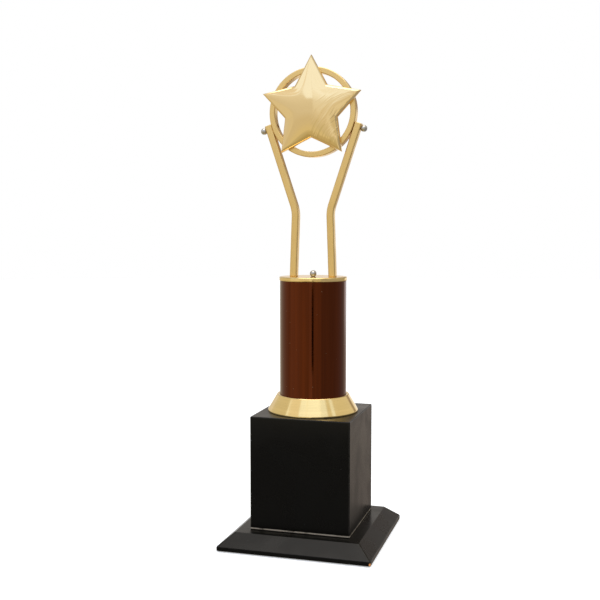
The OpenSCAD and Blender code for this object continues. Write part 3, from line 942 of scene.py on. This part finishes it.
class TROPHY_OT_base(Undoable, Operator):
    """Build the felt pad, the plinth and the block"""

    bl_idname = "star_trophy.base"
    bl_label = "Base"

    def execute(self, context):
        base = settings("base")
        lacquer = black_lacquer()
        profile = straight_profile("felt_pad", base.felt_round, base.felt_round)
        settle(square_solid("felt_pad_soft", profile, 1.5 * MM), "felt", felt(), "felt_pad")
        low, high = node_box("plinth")
        profile = solid_profile(
            [(high[0], low[2]), (high[0], low[2] + base.plinth_edge), (high[0] - base.plinth_bevel, high[2])],
            [0.4 * MM, base.plinth_round, base.plinth_round])
        settle(square_solid("plinth_lacquered", profile, 1.2 * MM), "black_lacquer", lacquer, "plinth")
        profile = straight_profile("block", base.block_round)
        settle(square_solid("block_lacquered", profile, 0.9 * MM), "black_lacquer", lacquer, "block")
        return {"FINISHED"}


class TROPHY_OT_column(Undoable, Operator):
    """Build the collar, the tube and the cap"""

    bl_idname = "star_trophy.column"
    bl_label = "Column"

    def execute(self, context):
        column = settings("column")
        tube_low, tube_high = node_box("column_tube")
        low, high = node_box("collar")
        bore = tube_high[0] - column.tube_wall
        seat = tube_high[0] + column.seat_gap
        hole = bore - column.ledge_width
        ledge = low[2] + column.collar_ledge
        fine = 0.3 * MM
        profile = [(hole, low[2]), (high[0], low[2]), (high[0], low[2] + column.collar_lip),
                   (column.collar_top, high[2]), (seat, high[2]), (seat, ledge), (hole, ledge)]
        rounding = np.array([0.2, 0.4, 0.6, column.rim_round / MM, 0.4, 0.2, 0.2]) * MM
        settle(turned_ring("collar_turned", profile, rounding, fine), "collar_gold",
               turned_gold("collar gold"), "collar")
        r, z0, z1 = tube_high[0], tube_low[2], tube_high[2]
        piece = turned_ring("column_tube_brown", [(bore, z0), (r, z0), (r, z1), (bore, z1)], fine, fine, 256)
        settle(piece, "column_brown", column_brown(), "column_tube")
        low, high = node_box("column_cap")
        profile = straight_profile("column_cap", column.rim_round, fine)
        piece = turned_solid("cap_disc", profile, low[2], high[2])
        settle(piece, "cap_gold", turned_gold("cap gold"), "column_cap")
        return {"FINISHED"}


class TROPHY_OT_arms(Undoable, Operator):
    """Build the two bent arms"""

    bl_idname = "star_trophy.arms"
    bl_label = "Arms"

    def execute(self, context):
        gold = satin_gold("arm gold")
        centre, radius, _ = ring_frame()
        for side, name in ((-1, "left"), (1, "right")):
            piece = grid_mesh("arm_bar_" + name, *bar_rows(side))
            axis = screw_axis(side)
            ends = (centre + (seat_distance() - 2 * MM) * axis, centre + (radius + 9 * MM) * axis)
            bored(piece, [ends], settings("ring").hole_radius)
            settle(piece, "arm_gold", gold, "arm_" + name)
        return {"FINISHED"}


class TROPHY_OT_ring(Undoable, Operator):
    """Build the ring with its flats and its screw holes"""

    bl_idname = "star_trophy.ring"
    bl_label = "Ring"

    def execute(self, context):
        ring = settings("ring")
        centre, radius, _ = ring_frame()
        piece = grid_mesh("ring_band", band_rows(), loop=True)
        axes = [(centre + (radius - 2 * ring.band) * screw_axis(side),
                 centre + (radius + ring.band) * screw_axis(side)) for side in (-1, 1)]
        settle(bored(piece, axes, ring.hole_radius), "ring_gold", satin_gold("ring gold", 0.8), "ring")
        return {"FINISHED"}


class TROPHY_OT_ball_screws(Undoable, Operator):
    """Build the three ball-headed screws"""

    bl_idname = "star_trophy.ball_screws"
    bl_label = "Ball-headed screws"

    def execute(self, context):
        ring = settings("ring")
        silver = plain_metal("ball silver", settings("finish").silver, 0.16, 0.3)
        low, high = node_box("cap_ball_screw")
        seat = high[2] - ring.ball_centre - ring.ball_radius
        profile, foot, top = ball_profile(ring.shank_radius, seat - low[2])
        cap = turned_solid("cap_ball", profile, foot, top, 64, ((0, 0, seat), (1, 0, 0), (0, 1, 0)))
        settle(cap, "ball_silver", silver, "cap_ball_screw")
        centre, radius, _ = ring_frame()
        arm = seat_distance() + settings("arms").width
        reach = arm - (radius - ring.band) - ring.screw_short
        profile, foot, top = ball_profile(ring.shank_radius, reach)
        for side, name in ((-1, "left"), (1, "right")):
            axis = screw_axis(side)
            where = (centre + arm * axis, DEPTHWISE, np.cross(axis, DEPTHWISE))
            settle(turned_solid("ring_ball_" + name, profile, foot, top, 64, where), "ball_silver",
                   silver, "ring_screw_" + name)
        return {"FINISHED"}


class TROPHY_OT_star(Undoable, Operator):
    """Build the star's domed front"""

    bl_idname = "star_trophy.star"
    bl_label = "Star"

    def execute(self, context):
        piece = grid_mesh("star_dome", *star_rows(), sharp=math.radians(65))
        settle(piece, "star_gold", mirror_gold(), "star_front")
        return {"FINISHED"}


class TROPHY_OT_fasteners(Undoable, Operator):
    """Finish the pieces that keep their measured shape: rod, nut, plugs, plate and screws"""

    bl_idname = "star_trophy.fasteners"
    bl_label = "Plate, plugs and fasteners"

    def execute(self, context):
        finish = settings("finish")
        zinc = plain_metal("zinc", finish.zinc, 0.3, 0.45)
        alloy = plain_metal("turned alloy", finish.alloy, 0.28, 0.4)
        kept = {"tie_rod": zinc, "tie_rod_washer": zinc, "tie_rod_nut": zinc, "plinth_screws": zinc,
                "arm_screws": zinc, "star_screws": zinc, "column_plug_upper": alloy,
                "column_plug_lower": turned_wood(), "star_back": satin_gold("plate gold", 0.7)}
        for node, material in kept.items():
            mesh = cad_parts[node].data
            mesh.materials.clear()
            mesh.materials.append(material)
        return {"FINISHED"}


# ---------------------------------------------------------------- stage


def glow_card(name, left, right, low, high, level):
    """An upright card that only reflections see, with an even glow of the given level.

    left and right are the places (x, y) of its two sides, and low and high its two heights.
    """
    mesh = bpy.data.meshes.new(name)
    corners = [(*left, low), (*right, low), (*right, high), (*left, high)]
    mesh.from_pydata(corners, [], [(0, 1, 2, 3)])
    card = bpy.data.objects.new(name, mesh)
    bpy.context.scene.collection.objects.link(card)
    material, n = new_material(name)
    n.tree.nodes.clear()
    cloud = n.ramp(n.noise(n.place(), 2.0), 0.3, 0.7, level * 0.94, level * 1.06)
    glow = n.add("ShaderNodeEmission", {"Color": opaque(NEUTRAL), "Strength": cloud})
    n.add("ShaderNodeOutputMaterial", {0: glow.outputs[0]})
    mesh.materials.append(material)
    card.visible_camera = False
    card.visible_diffuse = False
    card.visible_shadow = False


WARM, NEUTRAL, COOL = (1.08, 1.0, 0.74), (1.0, 1.0, 1.0), (0.87, 1.0, 1.26)
WOODY, CREAM = (1.2, 1.0, 0.86), (1.0, 1.0, 0.93)

# Bearings, heights, softness of the edges, level and tint of each panel round the stage
PANELS = (
    ((42, 140), (-60, 30), 3.0, 0.42, NEUTRAL),
    ((68, 150), (48, 90), 3.0, 0.9, WARM),
    ((63, 150), (12, 48), 2.5, 0.74, CREAM),
    ((42, 63), (33, 64), 1.5, 1.10, COOL),
    ((76, 86), (28, 64), 1.5, 1.08, COOL),
    ((-31, -13), (42, 64), 1.5, 1.22, COOL),
    ((-75, -31), (38, 64), 2.0, 0.88, NEUTRAL),
    ((-150, -68), (12, 38), 2.0, 0.70, CREAM),
    ((150, 181), (-60, -13), 2.0, 0.33, WOODY),
    ((150, 181), (-13, -6), 2.0, 0.46, WOODY),
    ((150, 181), (-6, 8), 2.0, 1.0, NEUTRAL),
    ((150, 181), (8, 60), 3.0, 0.31, WOODY),
    ((-181, -150), (9, 60), 3.0, 0.66, (1.06, 1.0, 0.94)),
    ((-181, -150), (-60, 0), 1.0, 1.1, NEUTRAL),
    ((-181, -150), (0, 9), 1.0, 0.76, (1.12, 1.0, 0.86)),
    ((-37, -29.5), (26.5, 38), 0.7, 0.94, NEUTRAL),
    ((-29.5, -27.2), (21, 38), 0.5, 0.93, NEUTRAL),
    ((-66, -31.5), (-19, 3), 1.5, 0.79, (1.02, 1.0, 0.88)),
    ((3, 12.5), (-16, 3), 1.0, 0.86, CREAM),
    ((-8.5, -3.5), (23, 64), 1.5, 1.18, (0.9, 1.0, 1.19)),
)

# Height, level and tint at each stop of the three front panels, which stand side by side
FRONT_LEFT = ((-40, 0.46, (1.16, 1, 0.60)), (-19, 0.56, (1.10, 1, 0.66)), (-11, 0.73, (1.06, 1, 0.74)),
              (0, 0.70, (1.04, 1, 0.86)), (6, 0.78, (1.0, 1, 0.96)), (19, 0.89, (0.98, 1, 1.01)))
FRONT_MIDDLE = ((-30, 0.44, (1.15, 1, 0.55)), (-12, 0.62, (1.04, 1, 0.74)), (0, 0.72, (1.04, 1, 0.85)),
                (3, 0.80, (1.02, 1, 0.93)), (8, 0.91, (0.97, 1, 1.01)), (13, 0.96, (0.95, 1, 1.08)),
                (15, 1.10, (0.91, 1, 1.14)), (17.5, 1.17, (0.90, 1, 1.20)), (20, 1.27, COOL))
FRONT_RIGHT = ((-30, 0.50, (1.12, 1, 0.60)), (-22, 0.84, (1.03, 1, 0.85)), (-15, 0.84, (1.0, 1, 0.93)),
               (-12, 0.54, (1.04, 1, 0.85)), (-1, 0.54, (1.04, 1, 0.85)), (3, 0.69, (1.04, 1, 0.82)),
               (16, 0.69, (1.04, 1, 0.82)), (23, 1.27, COOL))


def scaled_glow(level, tint=NEUTRAL):
    """The colour of a glow of the given level."""
    return scaled(tint, level, high=math.inf)


def studio_world():
    """Soft surroundings: white behind the trophy, and panels of several levels for reflections.

    The level depends on the bearing, 0 in front and positive to the right, and on the height
    above the horizon, both in degrees.
    """
    world = bpy.data.worlds.new("studio")
    world.use_nodes = True
    n = Nodes(world.node_tree)
    n.tree.nodes.clear()
    x, y, z = n.axes(n.add("ShaderNodeTexCoord").outputs["Generated"])
    bearing = n.times(n.math("ARCTAN2", x, n.times(y, -1.0)), math.degrees(1))
    height = n.times(n.math("ARCSINE", z), math.degrees(1))

    def inside(value, low, high, soft):
        """1 between low and high and 0 outside, with soft edges."""
        return n.times(n.ramp(value, low - soft, low + soft),
                       n.ramp(value, high - soft, high + soft, 1.0, 0.0))

    def panel(glow, bearings, heights, shade, soft_sides, soft_ends):
        """The glow with a panel of the given shade laid over it."""
        mask = n.times(inside(bearing, *bearings, soft_sides), inside(height, *heights, soft_ends))
        return n.blend(mask, glow, shade)

    def by_height(stops):
        """A glow colour that passes from stop to stop as the height grows."""
        shade = scaled_glow(*stops[0][1:])
        for (low, *_), (high, level, tint) in zip(stops, stops[1:]):
            shade = n.blend(n.ramp(height, low, high), shade, scaled_glow(level, tint))
        return shade

    turn = n.ramp(bearing, 10.0, 100.0)
    side = n.blend(turn, scaled_glow(0.80), scaled_glow(0.5))
    low = n.blend(turn, scaled_glow(0.62, WARM), scaled_glow(0.4, WARM))
    glow = n.blend(n.ramp(height, -8.0, 12.0), low, side)
    # the left front panel has a bright upper part, whose lower edge climbs to the left
    climb = n.plus(n.times(n.minus(-18.0, bearing), 0.755), 13.7)
    edge = n.math("MINIMUM", n.math("MAXIMUM", climb, 14.2), 20.2)
    above = n.ramp(n.minus(height, edge), -0.6, 0.6)
    left = n.blend(above, by_height(FRONT_LEFT), scaled_glow(1.27, COOL))
    glow = panel(glow, (-70.0, -13.4), (-90.0, 38.0), left, 0.6, 2.0)
    glow = panel(glow, (-13.4, 4.0), (-90.0, 64.0), by_height(FRONT_MIDDLE), 0.6, 2.0)
    glow = panel(glow, (4.0, 42.0), (-90.0, 64.0), by_height(FRONT_RIGHT), 0.6, 2.0)
    for bearings, heights, soft, level, tint in PANELS:
        glow = panel(glow, bearings, heights, scaled_glow(level, tint), soft, soft)
    glow = n.blend(n.add("ShaderNodeLightPath").outputs["Is Camera Ray"], glow, NEUTRAL)
    light = n.add("ShaderNodeBackground", {"Color": glow})
    n.add("ShaderNodeOutputWorld", {0: light.outputs[0]})
    return world


def soft_light(name, place, aim, size, power):
    """A large soft square light."""
    data = bpy.data.lights.new(name, "AREA")
    data.shape, data.size, data.energy = "SQUARE", size, power
    light = bpy.data.objects.new(name, data)
    light.location = place
    light.rotation_euler = (Vector(aim) - Vector(place)).to_track_quat("-Z", "Y").to_euler()
    bpy.context.scene.collection.objects.link(light)


class TROPHY_OT_stage(Undoable, Operator):
    """Set up the camera, the floor and the lights"""

    bl_idname = "star_trophy.stage"
    bl_label = "Stage"

    def execute(self, context):
        stage = settings("stage")
        scene = context.scene
        data = bpy.data.cameras.new("camera")
        data.lens, data.sensor_width = stage.lens, 36
        data.clip_start, data.clip_end = 0.01, 50
        camera = bpy.data.objects.new("camera", data)
        camera.location = stage.camera
        camera.rotation_euler = (math.pi / 2 - stage.camera_tilt, 0, stage.camera_turn)
        scene.collection.objects.link(camera)
        scene.camera = camera

        profile = np.array([(r, 0.0) for r in (0.01, 0.5, 1.0, 2.0, 4.0)])
        floor = grid_mesh("floor", lathe_rows(profile, 96), first=[0, 0, 0])
        material, n = new_material("floor")
        tone = n.ramp(n.noise(n.place(), 3.0), 0.3, 0.7, 0.97, 1.0)
        n.shade(Base_Color=n.blend(tone, (0.5, 0.5, 0.5), stage.floor), Roughness=0.9,
                Specular_IOR_Level=0.0, Emission_Color=opaque(NEUTRAL), Emission_Strength=0.4)
        floor.data.materials.append(material)
        floor.visible_glossy = False

        scene.world = studio_world()
        scene.view_settings.view_transform = "Standard"
        soft_light("overhead_light", (0.0, -0.1, 1.3), (0, 0, 0), 1.1, 8.6)
        # dark cards close in front: a narrow one for the column's dark line, a low one for the base
        bearing = math.radians(13.8)
        out = np.array([math.sin(bearing), -math.cos(bearing)]) * 0.3
        half = np.array([math.cos(bearing), math.sin(bearing)]) * 0.0317 / 2
        glow_card("narrow_card", out - half, out + half, 0.089, 0.175, 0.02)
        glow_card("front_card", (-0.11, -0.12), (0.06, -0.12), -0.06, 0.075, 0.2)
        return {"FINISHED"}


OPERATORS = (TROPHY_OT_stage, TROPHY_OT_base, TROPHY_OT_column, TROPHY_OT_arms, TROPHY_OT_ring,
             TROPHY_OT_ball_screws, TROPHY_OT_star, TROPHY_OT_fasteners)


class TROPHY_PT_panel(Panel):
    """The trophy's pieces and their settings"""

    bl_idname = "TROPHY_PT_panel"
    bl_label = "Star Trophy"
    bl_space_type = "VIEW_3D"
    bl_region_type = "UI"
    bl_category = "Star Trophy"

    def draw(self, context):
        for operator in OPERATORS:
            self.layout.operator(operator.bl_idname)
        for name, group in SETTINGS.items():
            box = self.layout.box()
            box.label(text=group.__name__.replace("Settings", ""))
            for key in group.__annotations__:
                box.prop(getattr(context.scene, name), key)


CLASSES = (*SETTINGS.values(), *OPERATORS, TROPHY_PT_panel)


def register():
    """Registers the classes and hangs the settings on the scene."""
    for cls in CLASSES:
        bpy.utils.register_class(cls)
    for name, group in SETTINGS.items():
        setattr(bpy.types.Scene, name, PointerProperty(type=group))


def unregister():
    """Takes the settings off the scene and unregisters the classes."""
    for name in SETTINGS:
        delattr(bpy.types.Scene, name)
    for cls in reversed(CLASSES):
        bpy.utils.unregister_class(cls)


def main():
    """Builds the stage and every piece."""
    register()
    for operator in OPERATORS:
        getattr(bpy.ops.star_trophy, operator.bl_idname.split(".")[1])()


if __name__ == "__main__":
    main()
